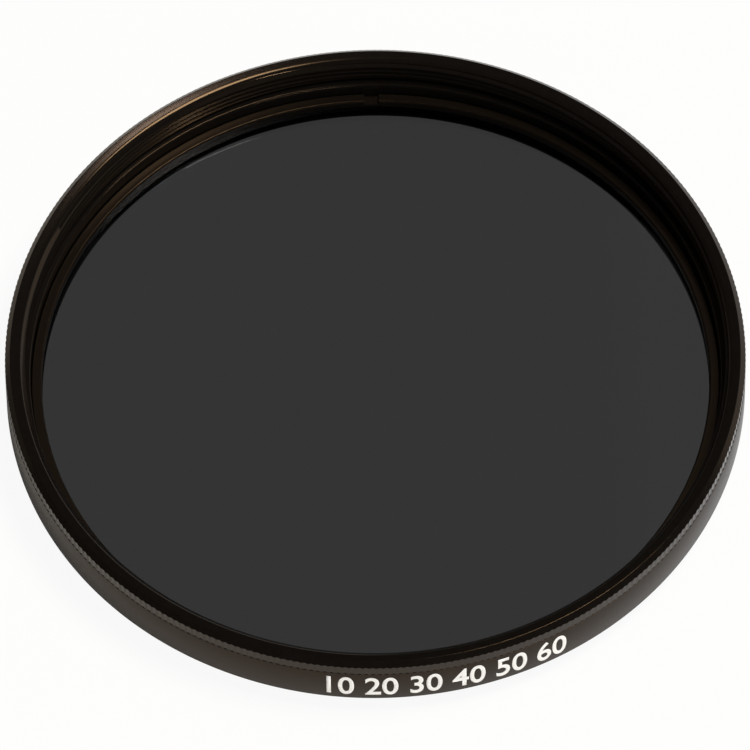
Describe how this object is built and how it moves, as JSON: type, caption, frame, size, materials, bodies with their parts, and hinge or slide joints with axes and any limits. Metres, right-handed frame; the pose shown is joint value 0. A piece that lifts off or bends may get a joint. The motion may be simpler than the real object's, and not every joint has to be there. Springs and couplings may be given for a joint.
{
  "type": "neutral density filter",
  "caption": "Round screw-in neutral density filter for a camera lens: dark glass in a slim black threaded ring.",
  "frame": {"origin": "centre of the rear end face, on the optical axis, in the plane that the filter lies on", "axes": "+Z along the optical axis, out of the front of the filter; X and Y across it, with the two spanner notches on the Y axis"},
  "size_m": [0.0806, 0.0806, 0.0091],
  "materials": {
    "ring_anodised_black": "satin black anodised",
    "neutral_glass": "polished dark neutral glass",
    "retaining_ring_black": "matt black anodised"
  },
  "bodies": {
    "root": {"filter_ring": "ring_anodised_black", "filter_glass": "neutral_glass", "retaining_ring": "retaining_ring_black"}
  },
  "joints": []
}
